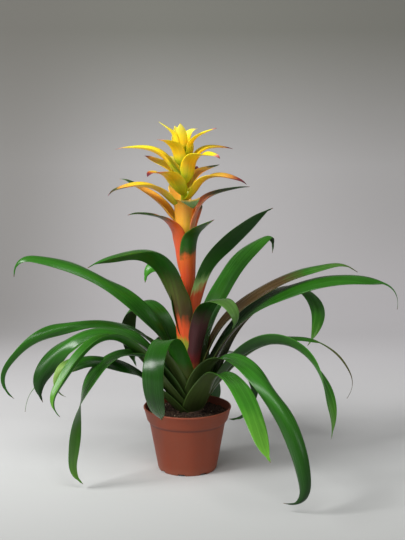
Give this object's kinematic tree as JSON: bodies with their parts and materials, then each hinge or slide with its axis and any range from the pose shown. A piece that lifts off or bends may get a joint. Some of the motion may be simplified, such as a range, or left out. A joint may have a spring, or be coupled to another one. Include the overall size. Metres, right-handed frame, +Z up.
{
  "type": "potted bromeliad",
  "caption": "Flowering bromeliad with long arching strap leaves and an upright spike of yellow and orange bracts, growing in a plain tapered plastic nursery pot.",
  "frame": {"origin": "middle of the pot's underside, on the surface it stands on", "axes": "+Z up; -Y towards the side seen in the picture, +X to its right"},
  "size_m": [0.5269, 0.4526, 0.4755],
  "materials": {
    "pot": "matt moulded brown plastic, a little scuffed",
    "soil": "loose fibrous potting mix with a few pale grains",
    "crown": "smooth leaf bases, olive and brown",
    "stem": "waxy bracts, red and orange with green tips",
    "head": "waxy bracts, yellow with red and green tips",
    "leaf": "glossy strap leaves with fine long veins, brown at the base"
  },
  "bodies": {
    "root": {"pot": "pot", "soil": "soil", "crown": "crown", "flower_stem": "stem", "flower_head": "head", "leaf_01": "leaf", "leaf_02": "leaf", "leaf_03": "leaf", "leaf_04": "leaf", "leaf_05": "leaf", "leaf_06": "leaf", "leaf_07": "leaf", "leaf_08": "leaf", "leaf_09": "leaf", "leaf_10": "leaf", "leaf_11": "leaf", "leaf_12": "leaf", "leaf_13": "leaf", "leaf_14": "leaf", "leaf_15": "leaf", "leaf_16": "leaf", "leaf_17": "leaf", "leaf_18": "leaf", "leaf_19": "leaf", "leaf_20": "leaf", "leaf_21": "leaf", "leaf_22": "leaf", "leaf_23": "leaf", "leaf_24": "leaf", "leaf_25": "leaf", "leaf_26": "leaf"}
  },
  "joints": []
}
